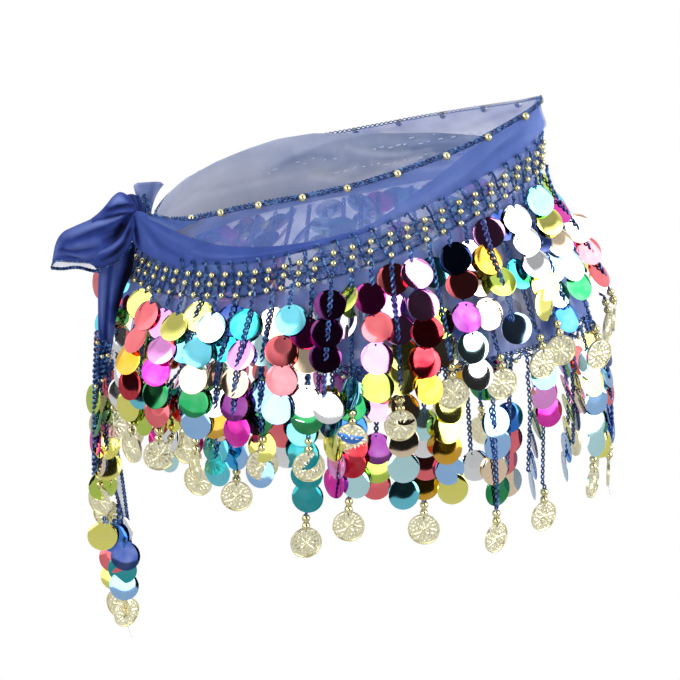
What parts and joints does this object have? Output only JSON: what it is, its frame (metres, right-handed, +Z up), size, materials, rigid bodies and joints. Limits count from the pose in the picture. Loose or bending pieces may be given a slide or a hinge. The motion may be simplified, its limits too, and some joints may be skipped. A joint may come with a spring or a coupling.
{
  "type": "belly dance hip scarf",
  "caption": "Chiffon hip scarf tied at one side, with a beaded crochet band and two tiers of paillette and coin fringe, in its worn form.",
  "frame": {"origin": "middle of the hips inside the rim, where the wearer holds the scarf", "axes": "+Z up; -Y the wearer's front as shown; +X towards the high side, -X towards the knot"},
  "size_m": [0.362, 0.2544, 0.3538],
  "materials": {
    "cloth_front": "royal blue chiffon, sheer",
    "cloth_back": "royal blue chiffon, sheer",
    "fold_over_front": "royal blue chiffon, doubled",
    "rim_edging_front": "metallic blue crochet yarn",
    "rim_edging_back": "metallic blue crochet yarn",
    "net_band_front": "metallic blue crochet yarn with gold beads",
    "net_band_back": "metallic blue crochet yarn with gold beads",
    "fringe_upper_front": "mirror paillettes in many colours, pale gold coins",
    "fringe_upper_back": "mirror paillettes in many colours, pale gold coins",
    "fringe_hem_front": "mirror paillettes in many colours, pale gold coins",
    "fringe_hem_back": "mirror paillettes in many colours, pale gold coins",
    "tie_knot": "royal blue chiffon, gathered",
    "tie_end_low": "royal blue chiffon, doubled",
    "tie_end_top": "royal blue chiffon, doubled",
    "tie_tail": "royal blue chiffon",
    "fringe_tail": "mirror paillettes in many colours, pale gold coins"
  },
  "bodies": {
    "root": {"cloth_front": "cloth_front", "cloth_back": "cloth_back", "fold_over_front": "fold_over_front", "rim_edging_front": "rim_edging_front", "rim_edging_back": "rim_edging_back", "net_band_front": "net_band_front", "net_band_back": "net_band_back", "fringe_upper_front": "fringe_upper_front", "fringe_upper_back": "fringe_upper_back", "fringe_hem_front": "fringe_hem_front", "fringe_hem_back": "fringe_hem_back", "tie_knot": "tie_knot", "tie_end_low": "tie_end_low", "tie_end_top": "tie_end_top", "tie_tail": "tie_tail", "fringe_tail": "fringe_tail"}
  },
  "joints": []
}
